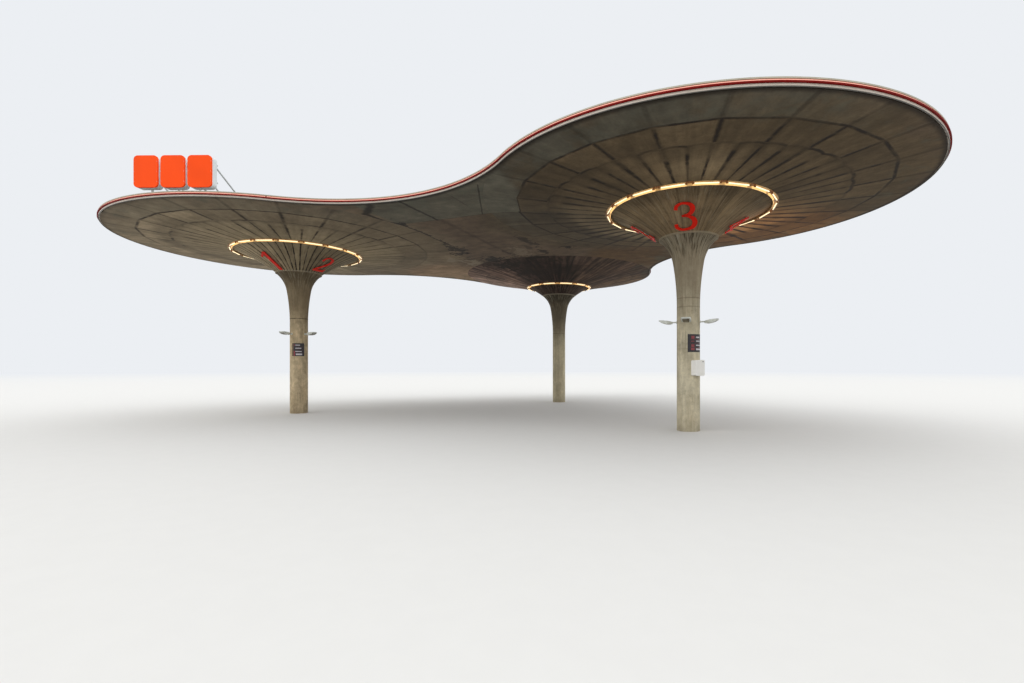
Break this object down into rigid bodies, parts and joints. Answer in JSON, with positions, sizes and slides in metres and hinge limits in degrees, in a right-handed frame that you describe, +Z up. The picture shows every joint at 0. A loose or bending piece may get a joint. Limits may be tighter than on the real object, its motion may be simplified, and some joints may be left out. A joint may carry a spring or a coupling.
{
  "type": "filling station canopy",
  "caption": "Concrete canopy on round columns that flare into mushroom heads and merge in one lobed roof plate with a lit edge.",
  "frame": {"origin": "on the ground under the middle of the roof's bounding box", "axes": "+Z up, +X along the front row of columns from left to right, +Y from the front row towards the rear column"},
  "size_m": [24.83, 18.5299, 7.298],
  "materials": {
    "column_concrete": "board-marked concrete, matt",
    "soffit_concrete": "board-marked concrete, matt, stained",
    "trough_paint": "cream paint, satin",
    "light_tube": "opal tube, lit",
    "band_paint": "pale paint, satin, weathered",
    "channel_paint": "dark red paint, satin",
    "edge_light": "coloured tube, lit",
    "coping_metal": "grey-beige coated sheet, matt",
    "roof_felt": "mineral felt, matt",
    "drain_iron": "dull cast iron",
    "lamp_housing": "grey die-cast housing, satin",
    "plate_dark": "dark matt sheet",
    "box_white": "white moulded plastic, satin",
    "sign_steel": "galvanised tube, dull",
    "sign_orange": "orange opal face, satin"
  },
  "bodies": {
    "root": {"left_column": "column_concrete", "right_column": "column_concrete", "rear_column": "column_concrete", "left_flare": "column_concrete", "right_flare": "column_concrete", "rear_flare": "column_concrete", "left_head": "soffit_concrete", "right_head": "soffit_concrete", "rear_head": "soffit_concrete", "left_saucer": "soffit_concrete", "right_saucer": "soffit_concrete", "rear_saucer": "soffit_concrete", "left_rim_slab": "soffit_concrete", "right_rim_slab": "soffit_concrete", "rear_rim_slab": "soffit_concrete", "front_web": "soffit_concrete", "left_web": "soffit_concrete", "right_web": "soffit_concrete", "centre_web": "soffit_concrete", "left_light_trough": "trough_paint", "right_light_trough": "trough_paint", "rear_light_trough": "trough_paint", "left_light_tubes": "light_tube", "right_light_tubes": "light_tube", "rear_light_tubes": "light_tube", "edge_band": "band_paint", "edge_channel": "channel_paint", "edge_tube": "edge_light", "edge_coping": "coping_metal", "roof_covering": "roof_felt", "roof_drains": "drain_iron", "left_column_lamps": "lamp_housing", "right_column_lamps": "lamp_housing", "left_display_plate": "plate_dark", "right_display_plate": "plate_dark", "towel_box": "box_white", "sign_frame": "sign_steel", "sign_boxes": "sign_orange"}
  },
  "joints": []
}
